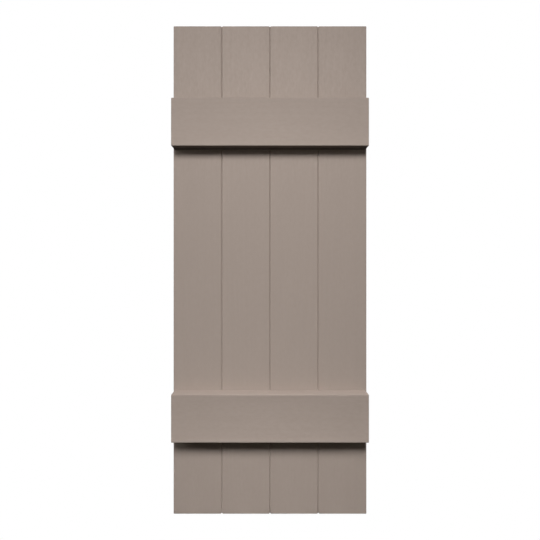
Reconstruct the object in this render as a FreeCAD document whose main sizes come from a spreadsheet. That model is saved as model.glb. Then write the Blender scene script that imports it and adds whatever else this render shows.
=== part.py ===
import FreeCAD, Part
import math
import os
import re
import Sketcher

# Board and batten shutter: upright tongue and groove boards with a V at each face joint, carried by
# two battens that are screwed on from behind.
# Millimetres. The origin is the centre of the flat back, +X runs to the right as seen from the
# front, +Z is up, and the face looks along -Y.

sizes = {
    "board_count": 4,
    "board_width": 89,  # cover width, from joint to joint
    "board_length": 900,
    "board_thickness": 19,
    "board_ease": 1.2,  # radius on the ends and on the outer edges of the panel
    "vee_width": 1.8,  # bevel of one board at a face joint, across the board
    "vee_depth": 1.8,  # the same bevel, into the board
    "back_gap": 0.4,  # a joint closes at the face and stays this far open at the back
    "tongue_length": 7,
    "tongue_thickness": 6,
    "tongue_clearance": 0.15,  # on each face of a tongue
    "groove_end_clearance": 1,
    "batten_height": 86,
    "batten_thickness": 25,
    "batten_ease": 1.2,
    "batten_inset": 1.4,  # a batten stops this far short of the panel's outer edges
    "batten_margin": 142,  # from the board ends to the nearer edge of a batten
    "screw_diameter": 4.5,
    "screw_length": 38,
    "screw_tip_length": 6,
    "screw_side_offset": 20,  # from the middle of a board
    "screw_row_offset": 20,  # from the middle of a batten
    "shank_clearance": 0.15,  # round a shank in the boards
    "seat_clearance": 0.05,  # under a head and round a shank in the battens
    "pilot_end_clearance": 0.8,
    "head_diameter": 8.8,
    "head_rim": 0.3,
    "head_sink": 0.3,  # the heads lie this far below the back
    "recess_span": 4.8,  # cross recess in a head
    "recess_width": 1.3,
    "recess_depth": 1.9,
}
countersink_angle = 90

# Places worked out from the sizes, as expressions in their names.
half_board = "board_width / 2"
half_panel = "board_count * board_width / 2"
half_length = "board_length / 2"
half_batten_length = f"({half_panel} - batten_inset)"
batten_height_above_middle = f"({half_length} - batten_margin - batten_height / 2)"
tongue_front = "-(board_thickness + tongue_thickness) / 2"
tongue_back = "-(board_thickness - tongue_thickness) / 2"
head_radius = "head_diameter / 2"
shank_radius = "screw_diameter / 2"
head_depth = f"(head_rim + {head_radius} - {shank_radius})"

battens = {"upper": 1, "lower": -1}  # each batten, and its side of mid-height
tolerance = 1e-6

document = FreeCAD.newDocument("shutter")


def make_sheet():
    # One row a size: its name, and beside it the value with that name as its alias.
    sheet = document.addObject("Spreadsheet::Sheet", "Sizes")
    for row, (name, value) in enumerate(sizes.items(), start=1):
        sheet.set(f"A{row}", name)
        sheet.set(f"B{row}", str(value))
        sheet.setAlias(f"B{row}", name)
    document.recompute()


def bind(feature, prop, expression):
    # Ties a property to an expression in size names, such as board_width / 2.
    feature.setExpression(prop, re.sub(r"[a-z_]+", r"Sizes.\g<0>", expression))


def board_place(index):
    # The middle of a board, counted from the left.
    return f"({index} - (board_count - 1) / 2) * board_width"


def screw_places(side):
    # The pair of screws through one board into one batten, from the middles of both.
    # The pair slants the other way in the other batten.
    return [(f"{step} * screw_side_offset", f"{-step * side} * screw_row_offset") for step in (-1, 1)]


def add_body(label, x, y, z):
    body = document.addObject("PartDesign::Body", label)
    body.Label = label
    bind(body, "Placement.Base.x", x)
    bind(body, "Placement.Base.y", y)
    bind(body, "Placement.Base.z", z)
    return body


def add_sketch(body, name, role):
    sketch = body.newObject("Sketcher::SketchObject", name)
    plane = next(feature for feature in body.Origin.OriginFeatures if feature.Role == role)
    sketch.AttachmentSupport = [(plane, "")]
    sketch.MapMode = "FlatFace"
    return sketch


def pin(sketch, geometry, point, x, y):
    # Holds one point of a sketch at x, y from the sketch's origin.
    for kind, expression in (("DistanceX", x), ("DistanceY", y)):
        constraint = sketch.addConstraint(Sketcher.Constraint(kind, -1, 1, geometry, point, 1.0))
        sketch.renameConstraint(constraint, f"{kind}{geometry}")
        bind(sketch, f"Constraints.{kind}{geometry}", expression)


def draw_outline(sketch, corners):
    # A closed run of straight lines. It starts as a regular polygon, and its pins then shape it.
    count = len(corners)
    turns = [2 * math.pi * corner / count for corner in range(count)]
    points = [FreeCAD.Vector(math.cos(turn), math.sin(turn), 0) for turn in turns]
    for corner, point in enumerate(points):
        sketch.addGeometry(Part.LineSegment(point, points[(corner + 1) % count]))
    for corner, (x, y) in enumerate(corners):
        sketch.addConstraint(Sketcher.Constraint("Coincident", corner, 2, (corner + 1) % count, 1))
        pin(sketch, corner, 1, x, y)


def draw_circles(sketch, centres, diameter):
    normal = FreeCAD.Vector(0, 0, 1)
    for x, y in centres:
        circle = sketch.addGeometry(Part.Circle(FreeCAD.Vector(), normal, 1))
        constraint = sketch.addConstraint(Sketcher.Constraint("Diameter", circle, 2.0))
        sketch.renameConstraint(constraint, f"Diameter{circle}")
        bind(sketch, f"Constraints.Diameter{circle}", diameter)
        pin(sketch, circle, 3, x, y)


def ease(body, base, planes, radius):
    # Rounds the edges where two of the named outer planes meet. A plane is an axis and its place on it.
    def lies_on(edge, axis, place):
        return all(abs(vertex.Point[axis] - place) < tolerance for vertex in edge.Vertexes)

    document.recompute()
    edges = []
    for number, edge in enumerate(base.Shape.Edges, start=1):
        if sum(lies_on(edge, axis, place) for axis, place in planes) == 2:
            edges.append(f"Edge{number}")
    fillet = body.newObject("PartDesign::Fillet", f"{body.Name}_ease")
    fillet.Base = (base, edges)
    bind(fillet, "Radius", radius)


def board_outline(first, last):
    # The section of a board, from the face round to the right. The inner edges carry the joints.
    right = [
        (f"{half_board} - vee_width", "-board_thickness"),
        (half_board, "vee_depth - board_thickness"),
        (half_board, tongue_front),
        (f"{half_board} + tongue_length", tongue_front),
        (f"{half_board} + tongue_length", tongue_back),
        (f"{half_board} - back_gap / 2", tongue_back),
        (f"{half_board} - back_gap / 2", "0"),
    ]
    left = [
        (f"back_gap / 2 - {half_board}", "0"),
        (f"back_gap / 2 - {half_board}", f"{tongue_back} + tongue_clearance"),
        (f"tongue_length + groove_end_clearance - {half_board}", f"{tongue_back} + tongue_clearance"),
        (f"tongue_length + groove_end_clearance - {half_board}", f"{tongue_front} - tongue_clearance"),
        (f"-{half_board}", f"{tongue_front} - tongue_clearance"),
        (f"-{half_board}", "vee_depth - board_thickness"),
        (f"vee_width - {half_board}", "-board_thickness"),
    ]
    if last:
        right = [(half_board, "-board_thickness"), (half_board, "0")]
    if first:
        left = [(f"-{half_board}", "0"), (f"-{half_board}", "-board_thickness")]
    return right + left


def make_board(index):
    first = index == 0
    last = index == sizes["board_count"] - 1
    body = add_body(f"board_{index + 1}", board_place(index), "0", "0")
    section = add_sketch(body, f"{body.Name}_section", "XY_Plane")
    draw_outline(section, board_outline(first, last))
    pad = body.newObject("PartDesign::Pad", f"{body.Name}_pad")
    pad.Profile = section
    pad.SideType = "Symmetric"
    bind(pad, "Length", "board_length")

    planes = [(1, 0), (1, -sizes["board_thickness"])]
    planes += [(2, end * sizes["board_length"] / 2) for end in (-1, 1)]
    if first:
        planes.append((0, -sizes["board_width"] / 2))
    if last:
        planes.append((0, sizes["board_width"] / 2))
    ease(body, pad, planes, "board_ease")

    centres = []
    for side in battens.values():
        centres += [(x, f"{side} * {batten_height_above_middle} + {z}") for x, z in screw_places(side)]
    holes = add_sketch(body, f"{body.Name}_holes", "XZ_Plane")
    draw_circles(holes, centres, "screw_diameter")
    document.recompute()
    hole = body.newObject("PartDesign::Hole", f"{body.Name}_countersinks")
    hole.Profile = holes
    hole.Reversed = True
    hole.DepthType = "ThroughAll"
    hole.HoleCutType = "Countersink"
    hole.HoleCutCountersinkAngle = countersink_angle
    bind(hole, "Diameter", "screw_diameter + 2 * shank_clearance")
    bind(hole, "HoleCutDiameter", "head_diameter + 2 * (head_rim + head_sink + seat_clearance)")
    return body


def make_batten(name, side):
    body = add_body(f"{name}_batten", "0", "-board_thickness", f"{side} * {batten_height_above_middle}")
    face = add_sketch(body, f"{body.Name}_face", "XZ_Plane")
    corners = ((-1, -1), (1, -1), (1, 1), (-1, 1))
    draw_outline(face, [(f"{x} * {half_batten_length}", f"{z} * batten_height / 2") for x, z in corners])
    pad = body.newObject("PartDesign::Pad", f"{body.Name}_pad")
    pad.Profile = face
    bind(pad, "Length", "batten_thickness")

    half_batten = sizes["board_count"] * sizes["board_width"] / 2 - sizes["batten_inset"]
    planes = [(1, -sizes["batten_thickness"])]
    for end in (-1, 1):
        planes.append((0, end * half_batten))
        planes.append((2, end * sizes["batten_height"] / 2))
    ease(body, pad, planes, "batten_ease")

    pilots = add_sketch(body, f"{body.Name}_pilots", "XZ_Plane")
    centres = [(f"{board_place(0)} + {x}", z) for x, z in screw_places(side)]
    draw_circles(pilots, centres, "screw_diameter + 2 * seat_clearance")
    pocket = body.newObject("PartDesign::Pocket", f"{body.Name}_pilot_holes")
    pocket.Profile = pilots
    pocket.Reversed = True
    bind(pocket, "Length", "head_sink + screw_length + pilot_end_clearance - board_thickness")
    row = body.newObject("PartDesign::LinearPattern", f"{body.Name}_pilot_row")
    row.Originals = [pocket]
    row.Direction = (pilots, ["H_Axis"])
    bind(row, "Length", "(board_count - 1) * board_width")
    bind(row, "Occurrences", "board_count")
    body.Tip = row
    return body


def make_screw(label, x, z):
    # The screw points along -Y, with the top of its head at its own origin.
    body = add_body(label, x, "-head_sink", z)
    section = add_sketch(body, f"{body.Name}_section", "XY_Plane")
    corners = [
        ("0", "0"),
        ("0", "-screw_length"),
        (shank_radius, "screw_tip_length - screw_length"),
        (shank_radius, f"-{head_depth}"),
        (head_radius, "-head_rim"),
        (head_radius, "0"),
    ]
    draw_outline(section, corners)
    turned = body.newObject("PartDesign::Revolution", f"{body.Name}_turned")
    turned.Profile = section
    turned.ReferenceAxis = (section, ["V_Axis"])

    cross = add_sketch(body, f"{body.Name}_cross", "XZ_Plane")
    arm = []
    for x_side, z_side in ((1, 1), (-1, 1), (-1, -1), (1, -1)):
        tip = (f"{x_side} * recess_span / 2", f"{z_side} * recess_width / 2")
        root = (f"{x_side} * recess_width / 2", f"{z_side} * recess_width / 2")
        end = (f"{x_side} * recess_width / 2", f"{z_side} * recess_span / 2")
        arm += [tip, root, end] if x_side == z_side else [end, root, tip]
    draw_outline(cross, arm)
    recess = body.newObject("PartDesign::Pocket", f"{body.Name}_recess")
    recess.Profile = cross
    recess.Reversed = True
    bind(recess, "Length", "recess_depth")
    return body


def make_screws(name, side):
    screws = []
    for index in range(sizes["board_count"]):
        for x, z in screw_places(side):
            label = f"{name}_batten_screw_{len(screws) + 1}"
            height = f"{side} * {batten_height_above_middle} + {z}"
            screws.append(make_screw(label, f"{board_place(index)} + {x}", height))
    return screws


def write_parts(parts):
    document.recompute()
    faults = [item.Label for item in document.Objects if {"Invalid", "Error"} & set(item.State)]
    faults += [part.Label for part in parts if part.Shape.isNull() or not part.Shape.isValid()]
    if faults:
        raise RuntimeError(f"failed: {faults}")
    os.makedirs("parts", exist_ok=True)
    for part in parts:
        part.Shape.exportStep(f"parts/{part.Label}.step")
        print(part.Label, round(part.Shape.Volume), len(part.Shape.Solids), part.Shape.BoundBox)


make_sheet()
pieces = [make_board(index) for index in range(sizes["board_count"])]
pieces += [make_batten(name, side) for name, side in battens.items()]
for name, side in battens.items():
    pieces += make_screws(name, side)
write_parts(pieces)
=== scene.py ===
import math
import bpy
import numpy as np
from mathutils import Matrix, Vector


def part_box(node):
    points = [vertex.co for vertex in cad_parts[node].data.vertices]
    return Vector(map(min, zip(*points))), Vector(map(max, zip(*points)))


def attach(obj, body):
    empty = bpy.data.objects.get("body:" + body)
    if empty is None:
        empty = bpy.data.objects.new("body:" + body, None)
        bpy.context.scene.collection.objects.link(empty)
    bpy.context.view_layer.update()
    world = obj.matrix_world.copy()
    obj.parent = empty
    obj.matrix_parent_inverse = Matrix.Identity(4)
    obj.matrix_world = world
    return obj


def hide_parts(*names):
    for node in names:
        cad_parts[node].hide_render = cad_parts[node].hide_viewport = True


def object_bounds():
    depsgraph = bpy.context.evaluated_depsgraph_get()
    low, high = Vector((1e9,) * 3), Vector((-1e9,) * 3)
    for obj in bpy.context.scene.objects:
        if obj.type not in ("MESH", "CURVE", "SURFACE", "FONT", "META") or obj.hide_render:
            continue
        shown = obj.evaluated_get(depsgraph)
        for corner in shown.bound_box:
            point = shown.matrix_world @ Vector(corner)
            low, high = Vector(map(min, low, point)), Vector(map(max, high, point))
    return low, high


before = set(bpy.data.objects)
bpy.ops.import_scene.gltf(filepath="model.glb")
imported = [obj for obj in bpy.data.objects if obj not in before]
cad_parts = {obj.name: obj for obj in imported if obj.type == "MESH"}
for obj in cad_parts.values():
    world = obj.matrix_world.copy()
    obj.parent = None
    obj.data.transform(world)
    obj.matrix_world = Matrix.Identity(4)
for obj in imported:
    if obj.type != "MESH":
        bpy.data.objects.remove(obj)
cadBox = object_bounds()
low, high = cadBox
panelHeight = high.z - low.z
boardNames = sorted(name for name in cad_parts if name.startswith("board_"))
battenNames = [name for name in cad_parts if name.endswith("_batten")]
screwNames = [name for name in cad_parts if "_screw_" in name]
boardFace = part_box("board_1")[0].y  # the plane of the boards' faces
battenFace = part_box("upper_batten")[0].y
boardCover = (high.x - low.x) / len(boardNames)  # width of a board from joint to joint
print("frame loaded:", len(boardNames), "boards,", len(battenNames), "battens,", len(screwNames), "screws")


# Camera: square on to the face, as the photograph was taken
photoView = {
    "framePixels": 540,
    "panelPixels": 488.0,  # height of the panel in the photograph
    "distance": 0.75,  # lens to board faces, from the slant of the battens' ends
    "eyeHeight": 0.012,  # lens above the middle of the panel
    "sensor": 36.0,
}


def placeCamera(view):
    span = panelHeight * view["framePixels"] / view["panelPixels"]  # width of the frame at the board faces
    data = bpy.data.cameras.new("photoCamera")
    data.sensor_width = view["sensor"]
    data.lens = view["sensor"] * view["distance"] / span
    data.shift_y = -view["eyeHeight"] / span
    camera = bpy.data.objects.new("photoCamera", data)
    camera.location = (0.0, boardFace - view["distance"], view["eyeHeight"])
    camera.rotation_euler = (math.radians(90), 0.0, 0.0)
    bpy.context.collection.objects.link(camera)
    bpy.context.scene.camera = camera
    print("camera placed: lens", round(data.lens, 2), "mm")


placeCamera(photoView)


# Nodes: a node with its settings, and its sockets either joined to another node's or set to a value
def addNode(tree, kind, sockets=None, **settings):
    node = tree.nodes.new(kind)
    for name, value in settings.items():
        setattr(node, name, value)
    for name, value in (sockets or {}).items():
        if isinstance(value, bpy.types.NodeSocket):
            tree.links.new(value, node.inputs[name])
        else:
            node.inputs[name].default_value = value
    return node


def calc(tree, operation, *values):
    return addNode(tree, "ShaderNodeMath", dict(enumerate(values)), operation=operation).outputs[0]


def calcVector(tree, operation, *values):
    node = addNode(tree, "ShaderNodeVectorMath", dict(enumerate(values)), operation=operation)
    return node.outputs["Value" if operation in ("LENGTH", "DOT_PRODUCT") else "Vector"]


def newGroup(name, takes, gives):
    tree = bpy.data.node_groups.new(name, "ShaderNodeTree")
    for label, kind in takes.items():
        tree.interface.new_socket(label, in_out="INPUT", socket_type="NodeSocket" + kind)
    for label, kind in gives.items():
        tree.interface.new_socket(label, in_out="OUTPUT", socket_type="NodeSocket" + kind)
    return tree, addNode(tree, "NodeGroupInput").outputs, addNode(tree, "NodeGroupOutput").inputs


# Light: a soft box above and in front, weaker ones from either side, two narrow ones that lift the head and
# the foot of the panel, a faint one beside the lens, one behind, and one low behind for the bottom ends
keyLight = {
    "centre": (-0.05, boardFace - 0.84, 0.66),
    "aim": (-0.05, boardFace, -0.62),
    "size": (0.8, 0.42),
    "spread": 180,
    "strength": 10.65,
}
leftLight = {
    "centre": (-1.25, boardFace - 0.7, 0.45),
    "aim": (0.0, boardFace, 0.0),
    "size": (0.5, 0.5),
    "spread": 180,
    "strength": 1.8,
}
rightLight = {
    "centre": (1.25, boardFace - 0.05, 0.35),
    "aim": (0.0, boardFace, 0.0),
    "size": (0.4, 0.4),
    "spread": 180,
    "strength": 2.5,
}
headLight = {
    "centre": (-0.02, boardFace - 0.84, 0.62),
    "aim": (0.0, boardFace, 0.36),
    "size": (0.35, 0.25),
    "spread": 50,
    "strength": 0.16,
}
footLight = {
    "centre": (-0.02, boardFace - 0.84, 0.62),
    "aim": (-0.035, boardFace, -0.45),
    "size": (0.35, 0.25),
    "spread": 30,
    "strength": 0.072,
}
lensLight = {
    "centre": (0.35, boardFace - 0.9, 0.0),
    "aim": (0.0, boardFace, 0.0),
    "size": (0.3, 0.3),
    "spread": 180,
    "strength": 0.58,
    "colour": (1.1, 1.0, 0.85),  # warm, as light that the room has sent back
}
backLight = {
    "centre": (0.25, 1.0, 0.85),
    "aim": (0.0, 0.0, 0.0),
    "size": (0.6, 0.5),
    "spread": 180,
    "strength": 12.0,
}
underLight = {
    "centre": (0.0, 0.45, -0.9),
    "aim": (0.0, 0.0, -0.3),
    "size": (0.5, 0.3),
    "spread": 180,
    "strength": 2.5,
}
roomWhite = 1.0  # what the lens, gloss and glass see of the room


def hangSoftBox(name, box):
    # Constant falloff: a soft box this near would otherwise leave the foot of the panel dark
    data = bpy.data.lights.new(name, "AREA")
    data.shape = "RECTANGLE"
    data.size, data.size_y = box["size"]
    data.spread = math.radians(box["spread"])
    data.energy = 1.0
    data.color = box.get("colour", (1, 1, 1))
    data.use_nodes = True
    tree = data.node_tree
    falloff = addNode(tree, "ShaderNodeLightFalloff", {"Strength": box["strength"]})
    tree.links.new(falloff.outputs["Constant"], tree.nodes["Emission"].inputs["Strength"])
    lamp = bpy.data.objects.new(name, data)
    lamp.location = box["centre"]
    aim = Vector(box["aim"]) - lamp.location
    lamp.rotation_euler = aim.to_track_quat("-Z", "Y").to_euler()
    lamp.visible_camera = False
    bpy.context.collection.objects.link(lamp)


def seenPlainly(tree):
    # 1 for a ray from the lens, off gloss or through glass, and 0 for one that lights a surface
    path = addNode(tree, "ShaderNodeLightPath").outputs
    gloss = calc(tree, "MAXIMUM", path["Is Glossy Ray"], path["Is Transmission Ray"])
    return calc(tree, "MAXIMUM", path["Is Camera Ray"], gloss)


def lightRoom():
    world = bpy.data.worlds.new("room")
    bpy.context.scene.world = world
    world.use_nodes = True
    tree = world.node_tree
    background = tree.nodes["Background"]
    background.inputs["Color"].default_value = (1, 1, 1, 1)
    tree.links.new(calc(tree, "MULTIPLY", seenPlainly(tree), roomWhite), background.inputs["Strength"])


hangSoftBox("keySoftBox", keyLight)
hangSoftBox("leftSoftBox", leftLight)
hangSoftBox("rightSoftBox", rightLight)
hangSoftBox("headSoftBox", headLight)
hangSoftBox("footSoftBox", footLight)
hangSoftBox("lensSoftBox", lensLight)
hangSoftBox("backSoftBox", backLight)
hangSoftBox("underSoftBox", underLight)
lightRoom()
bpy.context.scene.view_settings.view_transform = "Standard"
print("lights hung")


# Shapes: a section carried along a path, which every painted piece is made from
sweepDetail = {
    "cornerSteps": 4,  # pieces in a rounded corner
    "leastArc": 0.2,  # share of its radius that a corner keeps where the section is drawn in
    "collar": 0.0006,  # flat ring round each end face
    "sharpAngle": 35.0,
}


def roundCorners(corners, radii):
    # Each corner gives way to an arc that touches both its sides. The arc is a rational quadratic curve from
    # one touching point to the other, pulled towards the corner by the sine of half the corner's angle.
    back = np.roll(corners, 1, axis=1) - corners
    ahead = np.roll(corners, -1, axis=1) - corners
    back /= np.linalg.norm(back, axis=2, keepdims=True)
    ahead /= np.linalg.norm(ahead, axis=2, keepdims=True)
    halfAngle = np.arccos(np.clip((back * ahead).sum(axis=2), -1, 1)) / 2
    reach = (radii / np.tan(halfAngle))[:, :, None, None]
    along = np.linspace(0, 1, sweepDetail["cornerSteps"] + 1)[:, None]
    start = (1 - along) ** 2
    middle = 2 * np.sin(halfAngle)[:, :, None, None] * along * (1 - along)
    end = along ** 2
    corner = corners[:, :, None]
    onBack, onAhead = corner + reach * back[:, :, None], corner + reach * ahead[:, :, None]
    points = start * onBack + middle * corner + end * onAhead
    return points / (start + middle + end)


def sweep(section, path):
    # The section's outline at every station of the path. A row of the section is a corner: its two places,
    # its radius and the pieces in the run after it. A row of the path is a place and how far the outline is
    # drawn in there, each corner moving along the bisector of its sides.
    corners, radii, pieces = section[:, :2], section[:, 2], section[:, 3].astype(int)
    side = np.roll(corners, -1, axis=0) - corners
    side /= np.linalg.norm(side, axis=1, keepdims=True)
    inward = np.stack([-side[:, 1], side[:, 0]], axis=1)
    before = np.roll(inward, 1, axis=0)
    bisector = (before + inward) / (1 + (before * inward).sum(axis=1, keepdims=True))
    inset = path[:, 1, None]
    drawn = corners + inset[:, :, None] * bisector
    turned = roundCorners(drawn, np.maximum(radii - inset, radii * sweepDetail["leastArc"]))
    # A sharp corner keeps one point of its arc, and the run after each corner is cut into equal pieces
    kept = (radii > 0)[:, None] | (np.arange(turned.shape[2]) == sweepDetail["cornerSteps"])
    cuts = np.ones(kept.shape, int)
    cuts[:, -1] = pieces
    points, cuts = turned[:, kept], cuts[kept]
    run = np.repeat(np.arange(len(cuts)), cuts)
    share = (np.arange(len(run)) - (np.cumsum(cuts) - cuts)[run]) / cuts[run]
    ahead = points[:, (run + 1) % len(cuts)]
    return points[:, run] + share[:, None] * (ahead - points[:, run])


def evenSteps(marks, pieces):
    # Places from the first mark to the last, with each stretch between marks cut into equal pieces
    stretches = zip(marks, marks[1:], pieces)
    runs = [np.linspace(start, end, count, endpoint=False) for start, end, count in stretches]
    return np.append(np.concatenate(runs), marks[-1])


def easedPath(half, ease, run):
    # Stations from end to end: the straight run, at each end a quarter circle that draws the outline in by
    # the ease, and a flat collar inside it
    turn = np.linspace(0, math.pi / 2, sweepDetail["cornerSteps"] + 1)[1:]
    place = np.append(half - ease + ease * np.sin(turn), half)
    inset = np.append(ease - ease * np.cos(turn), ease + sweepDetail["collar"])
    places = np.concatenate([-place[::-1], run, place])
    insets = np.concatenate([inset[::-1], np.zeros_like(run), inset])
    return np.stack([places, insets], axis=1)


def timberMovement(across, along, seed, timber):
    # How far a planed face has drawn back from flat: a hollow that is deepest along the middle, and slow
    # waves along the grain, each a sine that leans a little across it
    draws = np.random.default_rng(seed)
    hollow = timber["cup"] * (1 - np.clip(across, -1, 1) ** 2)
    waves = np.zeros_like(across)
    for length in timber["waveLengths"]:
        phase, lean = draws.uniform(0, 2 * math.pi), draws.uniform(-1, 1)
        waves += 0.5 + 0.5 * np.sin(2 * math.pi * along / length + lean * across + phase)
    return hollow + timber["waveDepth"] * waves / len(timber["waveLengths"])


def closeSkin(name, points):
    # A tube of squares round the outline and along the path, with a flat face at each end
    stations, around = points.shape[:2]
    index = np.arange(stations * around).reshape(stations, around)
    beside = np.roll(index, -1, axis=1)
    squares = np.stack([index[:-1], beside[:-1], beside[1:], index[1:]], axis=2).reshape(-1, 4)
    ends = [index[0, ::-1].tolist(), index[-1].tolist()]
    mesh = bpy.data.meshes.new(name)
    mesh.from_pydata(points.reshape(-1, 3).tolist(), [], squares.tolist() + ends)
    mesh.shade_smooth()
    mesh.set_sharp_from_angle(angle=math.radians(sweepDetail["sharpAngle"]))
    piece = bpy.data.objects.new(name, mesh)
    bpy.context.collection.objects.link(piece)
    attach(piece, "root")
    return piece


# Boards: tongue and groove, with a small V at the face and countersunk screw holes in the back
board = {
    "vee": 0.0018,
    "veeEase": 0.0004,
    "backGap": 0.0004,  # a joint closes at the face and stays this far open at the back
    "backEase": 0.0006,
    "tongueLength": 0.007,
    "tongueThickness": 0.006,
    "tongueClearance": 0.00015,
    "tongueEase": 0.0006,
    "grooveEndClearance": 0.001,
    "edgeEase": 0.0014,  # on the outer edges of the panel
    "endEase": 0.0012,
    "nick": {"foot": 0.0018, "head": 0.0007},  # worn off the end of each V
    "nickReach": 0.005,  # behind the V
    "fill": {"foot": 0.2, "head": 0.0, "over": (-0.1, 0.27)},  # share of the V's depth that paint takes up
    "fillReach": 0.0054,  # behind the boards' faces
    "facePieces": 30,
    "edgePieces": 4,
    "backPieces": 3,  # from the right edge to the first screw hole
    "besideHole": 4,  # from each screw hole to the next mark
    "step": 0.012,  # length of a square along the board
}
boardTimber = {"cup": 0.00008, "waveDepth": 0.00005, "waveLengths": (0.31, 0.17, 0.083), "seed": 11}
screwHole = {"rim": 0.00505, "rimRing": 5, "rings": 8}  # radius at the back, and rings in its patch
patchHalf = screwHole["rim"] * screwHole["rings"] / screwHole["rimRing"]


def screwPlaces():
    boxes = [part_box(name) for name in screwNames]
    return np.array([((first.x + last.x) / 2, (first.z + last.z) / 2) for first, last in boxes])


def jointSide():
    # Tongue on the right of a board and groove on its left, as corner, radius and pieces, from the face to
    # the back on the right and from the back to the face on the left
    half, vee, gap = boardCover / 2, board["vee"], board["backGap"] / 2
    middle, thick = boardFace / 2, board["tongueThickness"] / 2
    tongueTip = half + board["tongueLength"]
    grooveEnd = board["tongueLength"] + board["grooveEndClearance"] - half
    slack = thick + board["tongueClearance"]
    tongue = [
        (half - vee, boardFace, board["veeEase"], 1),
        (half, boardFace + vee, board["veeEase"], 1),
        (half, middle - thick, 0, 2),
        (tongueTip, middle - thick, board["tongueEase"], 1),
        (tongueTip, middle + thick, board["tongueEase"], 2),
        (half - gap, middle + thick, 0, 1),
        (half - gap, 0, board["backEase"], board["backPieces"]),
    ]
    groove = [
        (gap - half, 0, board["backEase"], 1),
        (gap - half, middle + slack, 0, 2),
        (grooveEnd, middle + slack, 0, 1),
        (grooveEnd, middle - slack, 0, 2),
        (-half, middle - slack, 0, 1),
        (-half, boardFace + vee, board["veeEase"], 1),
        (vee - half, boardFace, board["veeEase"], board["facePieces"]),
    ]
    return tongue, groove


def boardSection(first, last, holeColumns):
    # Right side, back and left side of a board in turn. The face closes the loop, and an outer edge is plain.
    half, ease = boardCover / 2, board["edgeEase"]
    right, left = jointSide()
    if last:
        right = [(half, boardFace, ease, board["edgePieces"]), (half, 0, ease, board["backPieces"])]
    if first:
        left = [(-half, 0, ease, board["edgePieces"]), (-half, boardFace, ease, board["facePieces"])]
    # Marks on the back, so that each screw hole has a square patch of the grid to itself
    back = []
    for column in sorted(holeColumns, reverse=True):
        back.append((column + patchHalf, 0, 0, 2 * screwHole["rings"]))
        back.append((column - patchHalf, 0, 0, board["besideHole"]))
    return np.array(right + back + left)


def sinkHoles(points, places):
    # In the square patch round each screw, squares of the grid become rings: a point keeps its distance from
    # the centre, measured along the grid, and turns from square to round towards the rim. Inside the rim it
    # goes down a cone of 45 degrees.
    rimShare = screwHole["rimRing"] / screwHole["rings"]
    for x, z in places:
        across, up = (points[..., 0] - x) / patchHalf, (points[..., 2] - z) / patchHalf
        ring = np.maximum(abs(across), abs(up))
        inside = (points[..., 1] == 0) & (ring < 1)
        toCircle = ring / np.maximum(np.hypot(across, up), 1e-9)
        square = np.clip((ring - rimShare) / (1 - rimShare), 0, 1)
        turn = toCircle + (1 - toCircle) * square
        depth = np.maximum(rimShare - ring, 0) * patchHalf
        moved = np.stack([x + across * turn * patchHalf, -depth, z + up * turn * patchHalf], axis=-1)
        points = np.where(inside[..., None], moved, points)
    return points


def nickJoints(points, outline, jointed):
    # Where a V runs out at an end, the board is cut short there by the nick. The cut is full along the joint
    # and falls evenly to nothing at the edge of the V and at the nick's reach behind it.
    fromJoint = boardCover / 2 - abs(outline[..., 0])
    behind = points[..., 1] - boardFace - board["vee"]
    share = np.clip(1 - fromJoint / board["vee"], 0, 1) * np.clip(1 - behind / board["nickReach"], 0, 1)
    share = np.where(jointed, share, 0)
    half, nick = panelHeight / 2, board["nick"]
    points[..., 2] = np.clip(points[..., 2], nick["foot"] * share - half, half - nick["head"] * share)


def fillJoints(points, outline, jointed):
    # Paint lies thicker in the V lower down. The floor of the V comes forward by a share of its depth, and
    # the share fades out over a stretch of height. The move falls evenly to nothing at the face, at the
    # fill's reach behind it and beside the V.
    fill, vee, reach = board["fill"], board["vee"], board["fillReach"]
    fromJoint = boardCover / 2 - abs(outline[..., 0])
    behind = points[..., 1] - boardFace
    share = np.interp(points[..., 2], fill["over"], (fill["foot"], fill["head"]))
    share = share * np.clip(behind / vee, 0, 1) * np.clip((reach - behind) / (reach - vee), 0, 1)
    share = share * np.clip(2 - fromJoint / vee, 0, 1)
    points[..., 1] -= np.where(jointed, share * vee, 0)


def makeBoard(index, places):
    # The section carried up the board, with stations set so that each screw hole has its patch. Holes and
    # nicks are then cut, paint fills the V, and the face is drawn back by the timber's movement.
    isFirst, isLast = index == 0, index == len(boardNames) - 1
    middle = (index - (len(boardNames) - 1) / 2) * boardCover
    mine = places[abs(places[:, 0] - middle) < boardCover / 2]
    columns = np.unique(np.round(mine[:, 0] - middle, 6))
    heights = np.unique(np.round(mine[:, 1], 6))
    half = panelHeight / 2
    straight = half - board["endEase"]
    patchEnds = np.stack([heights - patchHalf, heights + patchHalf], axis=1)
    marks = np.concatenate([[-straight], patchEnds.ravel(), [straight]])
    pieces = np.maximum(1, np.round(np.diff(marks) / board["step"])).astype(int)
    pieces[1::2] = 2 * screwHole["rings"]
    path = easedPath(half, board["endEase"], evenSteps(marks, pieces))
    outline = sweep(boardSection(isFirst, isLast, columns), path)
    height = np.broadcast_to(path[:, None, :1], outline[..., :1].shape)
    points = np.concatenate([outline + (middle, 0), height], axis=2)
    points = sinkHoles(points, mine)
    jointed = np.where(outline[..., 0] < 0, not isFirst, not isLast)
    nickJoints(points, outline, jointed)
    fillJoints(points, outline, jointed)
    across = outline[..., 0] / (boardCover / 2)
    drawnBack = timberMovement(across, height[..., 0], boardTimber["seed"] + index, boardTimber)
    points[..., 1] += np.where(np.isclose(points[..., 1], boardFace), drawnBack, 0)
    return closeSkin(f"paintedBoard{index + 1}", points)


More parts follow.
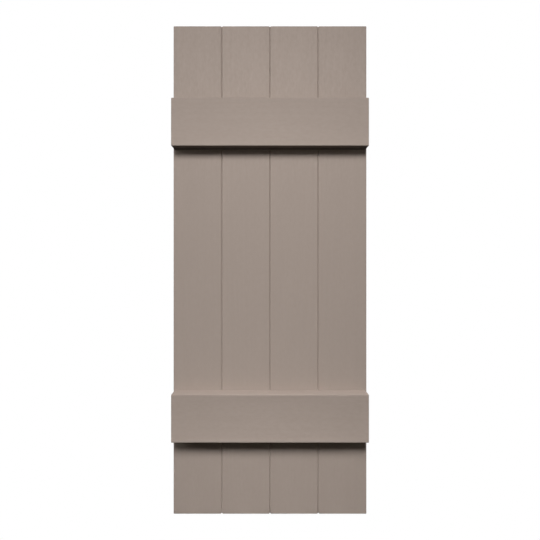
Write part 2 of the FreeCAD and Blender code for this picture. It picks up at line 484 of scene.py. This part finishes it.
# Battens: planed square, eased at the face and the ends, and a little hollow across the face
batten = {
    "ease": 0.0013,
    "endEase": 0.0012,
    "facePieces": 30,
    "edgePieces": 6,
    "backPieces": 4,
    "step": 0.008,
}
battenTimber = {"cup": 0.0007, "waveDepth": 0.00005, "waveLengths": (0.23, 0.12, 0.061), "seed": 31}


def makeBatten(name, seed):
    # A rectangle, with its two front corners rounded, carried along the batten. The face is then drawn back
    # by the timber's movement.
    first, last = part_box(name)
    half = (last.x - first.x) / 2
    ease = batten["ease"]
    section = np.array([
        (first.y, first.z, ease, batten["edgePieces"]),
        (last.y, first.z, 0, batten["backPieces"]),
        (last.y, last.z, 0, batten["edgePieces"]),
        (first.y, last.z, ease, batten["facePieces"]),
    ])
    straight = half - batten["endEase"]
    run = evenSteps([-straight, straight], [round(2 * straight / batten["step"])])
    path = easedPath(half, batten["endEase"], run)
    outline = sweep(section, path)
    length = np.broadcast_to(path[:, None, :1], outline[..., :1].shape)
    points = np.concatenate([length, outline], axis=2)
    rise = (points[..., 2] - (first.z + last.z) / 2) / ((last.z - first.z) / 2)
    drawnBack = timberMovement(rise, points[..., 0], seed, battenTimber)
    points[..., 1] += np.where(np.isclose(points[..., 1], first.y), drawnBack, 0)
    side = name.split("_")[0]
    return closeSkin(f"painted{side.capitalize()}Batten", points)


places = screwPlaces()
boards = [makeBoard(index, places) for index in range(len(boardNames))]
battens = [makeBatten(name, battenTimber["seed"] + index) for index, name in enumerate(battenNames)]
for piece, name in zip(boards + battens, boardNames + battenNames):
    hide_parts(name)
print("timber made:", sum(len(piece.data.polygons) for piece in boards + battens), "faces")


# Paint: taupe, flat, brushed on over planed timber whose grain just shows through
taupe = {
    "colour": (0.333, 0.277, 0.243),
    "gloss": 0.02,  # specular level of a coat gone flat
    "roughness": 0.68,
    "relief": 0.00012,  # height of the coat's pattern
    "reliefStrength": 0.5,
}
# The coat's marks. Drawn: 1 for a mark as long as it is wide, and less for one drawn out along the grain.
# Cut: levels of the noise where a mark begins and where it is full. Middle: the level that changes nothing.
# Then the mark's share in colour, roughness and height.
coatMarks = {
    "rings": {"middle": 0.5, "colour": 0.02, "roughness": 0.03, "height": 0.25},
    "brushed": {
        "drawn": 0.035, "scale": 380, "detail": 3,
        "middle": 0.5, "colour": 0.045, "roughness": 0.25, "height": 0.5,
    },
    "pores": {
        "drawn": 0.09, "scale": 620, "detail": 1, "cut": (0.5, 0.68),
        "middle": 0.1, "colour": -0.05, "height": -0.35,
    },
    "mottle": {"drawn": 0.5, "scale": 230, "detail": 1, "middle": 0.5, "colour": 0.14, "height": 0.3},
    "patches": {"drawn": 0.5, "scale": 20, "detail": 3, "middle": 0.5, "colour": 0.14, "roughness": 0.12},
    "stipple": {"drawn": 1, "scale": 1100, "detail": 1, "middle": 0.5, "height": 0.2},
}
openGrain = {"drawn": 0.4, "scale": 26, "detail": 2, "cut": (0.4, 0.62)}  # where pores stay open
endGrain = {"rings": -0.16, "colour": -0.04, "roughness": 0.12}  # what the ends of the grain add
growth = {"spacing": 0.0075, "wander": 0.012, "drawn": 0.06, "scale": 22, "detail": 2}
faceTurn = {"downward": (0.5, 0.95), "endwise": (0.8, 0.95)}  # how square to that way a face begins to count
# How a kind of piece has taken the coat. Shows: how much of the grain shows, below and above a stretch of
# height measured from the piece's middle. The next pair is painted light and shade over height, in the same
# way: the battens' faces are painted darker at the head and lighter towards the lower edge. The last pair is
# painted shade on a downward face, at the battens' front and at the boards' faces: darkest in the corner
# under a batten, and a little on the boards' bottom ends.
boardCoat = {
    "shows": (0.4, 1.0), "showsOver": (0.12, 0.33),
    "paintedShade": (1.0, 1.0), "paintedShadeOver": (-0.45, 0.45),
    "under": (0.9, 0.9),
}
battenCoat = {
    "shows": (0.6, 0.6), "showsOver": (-0.04, 0.04),
    "paintedShade": (1.06, 0.975), "paintedShadeOver": (-0.04, 0.04),
    "under": (0.5, 0.2),
}
uprightGrain = (0.0, 0.0, 0.0)  # turns that bring the grain to the local Z
levelGrain = (0.0, -math.pi / 2, 0.0)
# Pith: where the heart of the tree lay from the piece's middle. Lean: its slope, which draws the rings out
# into arches. Tint: the piece's own shade.
boardGrain = (
    {"pith": (0.012, 0.055, 0.0), "lean": (0.015, 0.03, 0.0), "tint": 0.997},
    {"pith": (-0.03, 0.04, 0.0), "lean": (-0.02, 0.022, 0.0), "tint": 1.004},
    {"pith": (0.02, 0.07, 0.0), "lean": (0.026, -0.018, 0.0), "tint": 1.004},
    {"pith": (-0.008, 0.048, 0.0), "lean": (-0.012, -0.028, 0.0), "tint": 0.998},
)
battenGrain = {
    "upper_batten": {"pith": (-0.02, 0.05, 0.0), "lean": (-0.024, 0.02, 0.0), "tint": 0.996},
    "lower_batten": {"pith": (0.015, 0.06, 0.0), "lean": (0.02, 0.03, 0.0), "tint": 1.025},
}


def speckle(tree, place, scale, detail):
    return addNode(tree, "ShaderNodeTexNoise", {"Vector": place, "Scale": scale, "Detail": detail}).outputs


def fade(tree, value, low, high, start=0.0, end=1.0):
    ends = {"Value": value, "From Min": low, "From Max": high, "To Min": start, "To Max": end}
    return addNode(tree, "ShaderNodeMapRange", ends).outputs["Result"]


def blend(tree, share, first, second):
    return addNode(tree, "ShaderNodeMix", {0: share, 2: first, 3: second}, data_type="FLOAT").outputs[0]


def addShares(tree, start, *shares):
    # The start, plus each pattern measured from its middle and times its share
    total = start
    for pattern, middle, share in shares:
        total = calc(tree, "MULTIPLY_ADD", calc(tree, "SUBTRACT", pattern, middle), share, total)
    return total


def toned(tree, colour, shade):
    return addNode(tree, "ShaderNodeVectorMath", {0: colour, "Scale": shade}, operation="SCALE").outputs[0]


def groupGrowthRings():
    # Rings round a pith that runs along the local Z: a sine of the distance from that line, which drifts
    # sideways with a noise drawn out along the grain
    takes = {"Place": "Vector", "Spacing": "Float", "Wander": "Float"}
    tree, takes, gives = newGroup("growthRings", takes, {"Rings": "Float"})
    drawnOut = calcVector(tree, "MULTIPLY", takes["Place"], (1, 1, growth["drawn"]))
    noise = speckle(tree, drawnOut, growth["scale"], growth["detail"])["Color"]
    drift = calcVector(tree, "SUBTRACT", noise, (0.5, 0.5, 0.5))
    moved = calcVector(tree, "ADD", takes["Place"], toned(tree, drift, takes["Wander"]))
    fromPith = calcVector(tree, "LENGTH", calcVector(tree, "MULTIPLY", moved, (1, 1, 0)))
    turns = calc(tree, "MULTIPLY", calc(tree, "DIVIDE", fromPith, takes["Spacing"]), 2 * math.pi)
    tree.links.new(calc(tree, "MULTIPLY_ADD", calc(tree, "SINE", turns), 0.5, 0.5), gives["Rings"])
    return tree


def groupBrushedPaint():
    # One coat of paint over timber: brush marks and a mottle drawn out along the local Z, short ticks where
    # pores stay open, slow patches, and a fine stipple. Each mark is measured from its middle, times its
    # share, and added to the others.
    takes = {"Colour": "Color", "Place": "Vector", "Rings": "Float"}
    takes.update({"Shows": "Float", "PaintedShade": "Float", "Ends": "Float"})
    gives = {"Colour": "Color", "Roughness": "Float", "Height": "Float"}
    tree, takes, gives = newGroup("brushedPaint", takes, gives)

    def drawn(mark):
        place = calcVector(tree, "MULTIPLY", takes["Place"], (1, 1, mark["drawn"]))
        noise = speckle(tree, place, mark["scale"], mark["detail"])[0]
        return fade(tree, noise, *mark["cut"]) if "cut" in mark else noise

    def mixed(start, effect):
        chosen = {name: mark for name, mark in coatMarks.items() if effect in mark}
        shares = [(marks[name], mark["middle"], mark[effect]) for name, mark in chosen.items()]
        return addShares(tree, start, *shares)

    marks = {name: drawn(mark) for name, mark in coatMarks.items() if "drawn" in mark}
    marks["rings"] = takes["Rings"]
    marks["pores"] = calc(tree, "MULTIPLY", marks["pores"], drawn(openGrain))
    ends = takes["Ends"]
    endRings = calc(tree, "MULTIPLY", takes["Rings"], ends)
    shade = calc(tree, "MULTIPLY_ADD", mixed(0.0, "colour"), takes["Shows"], 1.0)
    shade = addShares(tree, shade, (endRings, 0, endGrain["rings"]), (ends, 0, endGrain["colour"]))
    # Painted light and shade: the coat's colour is scaled by shade painted over height and on downward faces
    shade = calc(tree, "MULTIPLY", shade, takes["PaintedShade"])
    rough = addShares(tree, mixed(taupe["roughness"], "roughness"), (ends, 0, endGrain["roughness"]))
    tree.links.new(toned(tree, takes["Colour"], shade), gives["Colour"])
    tree.links.new(rough, gives["Roughness"])
    tree.links.new(mixed(0.5, "height"), gives["Height"])
    return tree


growthRings = groupGrowthRings()
brushedPaint = groupBrushedPaint()


def newMaterial(name):
    material = bpy.data.materials.new(name)
    material.use_nodes = True
    tree = material.node_tree
    return material, tree, tree.nodes["Principled BSDF"].inputs


def paintMaterial(name, centre, turn, kind, grain):
    material, tree, shader = newMaterial(name)
    coordinates = addNode(tree, "ShaderNodeTexCoord").outputs
    fromMiddle = calcVector(tree, "SUBTRACT", coordinates["Object"], centre)
    place = addNode(tree, "ShaderNodeMapping", {"Vector": fromMiddle, "Rotation": turn}).outputs[0]
    toPith = {"Vector": place, "Location": grain["pith"], "Rotation": grain["lean"]}
    ringsSockets = {
        "Place": addNode(tree, "ShaderNodeMapping", toPith).outputs[0],
        "Spacing": growth["spacing"],
        "Wander": growth["wander"],
    }
    rings = addNode(tree, "ShaderNodeGroup", ringsSockets, node_tree=growthRings).outputs["Rings"]
    facing = coordinates["Normal"]
    turned = addNode(tree, "ShaderNodeMapping", {"Vector": facing, "Rotation": turn}, vector_type="VECTOR")
    endwise = calc(tree, "ABSOLUTE", calcVector(tree, "DOT_PRODUCT", turned.outputs[0], (0, 0, 1)))
    height = calcVector(tree, "DOT_PRODUCT", fromMiddle, (0, 0, 1))
    depth = calcVector(tree, "DOT_PRODUCT", coordinates["Object"], (0, 1, 0))
    # Painted shade on downward faces, darkest in the corner under a batten against the boards
    under = fade(tree, depth, battenFace, boardFace, *kind["under"])
    downward = fade(tree, calcVector(tree, "DOT_PRODUCT", facing, (0, 0, -1)), *faceTurn["downward"])
    # Painted light and shade over height: a batten's face lighter towards its lower edge, darker at its head
    paintedShade = fade(tree, height, *kind["paintedShadeOver"], *kind["paintedShade"])
    coatSockets = {
        "Colour": tuple(channel * grain["tint"] for channel in taupe["colour"]) + (1,),
        "Place": place,
        "Rings": rings,
        "Shows": fade(tree, height, *kind["showsOver"], *kind["shows"]),
        "PaintedShade": calc(tree, "MULTIPLY", paintedShade, blend(tree, downward, 1.0, under)),
        "Ends": fade(tree, endwise, *faceTurn["endwise"]),
    }
    coat = addNode(tree, "ShaderNodeGroup", coatSockets, node_tree=brushedPaint).outputs
    relief = {"Height": coat["Height"], "Distance": taupe["relief"], "Strength": taupe["reliefStrength"]}
    bump = addNode(tree, "ShaderNodeBump", relief)
    tree.links.new(coat["Colour"], shader["Base Color"])
    tree.links.new(coat["Roughness"], shader["Roughness"])
    tree.links.new(bump.outputs["Normal"], shader["Normal"])
    shader["Specular IOR Level"].default_value = taupe["gloss"]
    return material


def middleOf(name):
    first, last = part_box(name)
    return tuple((first + last) / 2)


for piece, name, grain in zip(boards, boardNames, boardGrain):
    coat = paintMaterial(piece.name + "Paint", middleOf(name), uprightGrain, boardCoat, grain)
    piece.data.materials.append(coat)
for piece, name in zip(battens, battenNames):
    coat = paintMaterial(piece.name + "Paint", middleOf(name), levelGrain, battenCoat, battenGrain[name])
    piece.data.materials.append(coat)
print("paint brushed on")


# Screws: zinc plated steel, dulled in patches
zinc = {
    "colour": (0.34, 0.34, 0.325),
    "dulling": 0.3,  # how far a blotch darkens it
    "roughness": 0.42,
    "relief": 0.00003,
}
blotch = {"scale": 300, "detail": 4, "cut": (0.35, 0.68), "roughness": 0.2}
scratch = {"drawn": 0.12, "scale": 2600, "detail": 2, "roughness": 0.25}


def zincMaterial():
    material, tree, shader = newMaterial("zincPlate")
    place = addNode(tree, "ShaderNodeTexCoord").outputs["Object"]
    blotches = fade(tree, speckle(tree, place, blotch["scale"], blotch["detail"])[0], *blotch["cut"])
    drawnOut = calcVector(tree, "MULTIPLY", place, (1, 1, scratch["drawn"]))
    scratches = speckle(tree, drawnOut, scratch["scale"], scratch["detail"])[0]
    shade = addShares(tree, 1.0, (blotches, 0, -zinc["dulling"]))
    shares = ((blotches, 0, blotch["roughness"]), (scratches, 0.5, scratch["roughness"]))
    tree.links.new(toned(tree, zinc["colour"], shade), shader["Base Color"])
    tree.links.new(addShares(tree, zinc["roughness"], *shares), shader["Roughness"])
    bump = addNode(tree, "ShaderNodeBump", {"Height": scratches, "Distance": zinc["relief"]})
    tree.links.new(bump.outputs["Normal"], shader["Normal"])
    shader["Metallic"].default_value = 1.0
    return material


zincPlate = zincMaterial()
for name in screwNames:
    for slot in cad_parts[name].material_slots:
        slot.material = zincPlate
print("screws plated")


# Floor: a pale disc well below the panel, which hangs on a wall. It fades to the white of the room at its
# rim, takes the panel's shadow and throws no light back up.
floor = {
    "drop": 0.5,
    "radius": 0.6,
    "fadeFrom": 0.25,
    "hub": 0.001,  # radius of the innermost ring
    "rings": 24,
    "around": 96,
    "colour": (0.86, 0.86, 0.85, 1),
    "roughness": 0.8,
    "gloss": 0.1,
}
floorGrain = {"scale": 9, "detail": 4, "roughness": 0.1}


def makeFloor():
    # Rings of points round the middle: distance along the first parameter, angle along the second
    distance = np.linspace(floor["hub"], floor["radius"], floor["rings"])[:, None]
    angle = np.linspace(0, 2 * math.pi, floor["around"], endpoint=False)
    flat = np.full((floor["rings"], floor["around"]), low.z - floor["drop"])
    points = np.stack([distance * np.cos(angle), distance * np.sin(angle), flat], axis=-1)
    index = np.arange(flat.size).reshape(flat.shape)
    beside = np.roll(index, -1, axis=1)
    squares = np.stack([index[:-1], index[1:], beside[1:], beside[:-1]], axis=-1).reshape(-1, 4)
    mesh = bpy.data.meshes.new("paleFloor")
    mesh.from_pydata(points.reshape(-1, 3).tolist(), [], squares.tolist() + [index[0].tolist()])
    piece = bpy.data.objects.new("paleFloor", mesh)
    bpy.context.collection.objects.link(piece)
    return piece


def floorMaterial():
    material, tree, shader = newMaterial("paleFloor")
    place = addNode(tree, "ShaderNodeTexCoord").outputs["Object"]
    distance = calcVector(tree, "LENGTH", calcVector(tree, "MULTIPLY", place, (1, 1, 0)))
    rim = fade(tree, distance, floor["fadeFrom"], floor["radius"])
    grain = speckle(tree, place, floorGrain["scale"], floorGrain["detail"])[0]
    rough = addShares(tree, floor["roughness"], (grain, 0.5, floorGrain["roughness"]))
    tree.links.new(rough, shader["Roughness"])
    shader["Base Color"].default_value = floor["colour"]
    shader["Specular IOR Level"].default_value = floor["gloss"]
    white = addNode(tree, "ShaderNodeEmission").outputs[0]
    pale = tree.nodes["Principled BSDF"].outputs[0]
    lit = addNode(tree, "ShaderNodeMixShader", {0: rim, 1: pale, 2: white})
    clear = addNode(tree, "ShaderNodeBsdfTransparent").outputs[0]
    seen = addNode(tree, "ShaderNodeMixShader", {0: seenPlainly(tree), 1: clear, 2: lit.outputs[0]})
    tree.links.new(seen.outputs[0], tree.nodes["Material Output"].inputs["Surface"])
    return material


makeFloor().data.materials.append(floorMaterial())
print("floor laid")
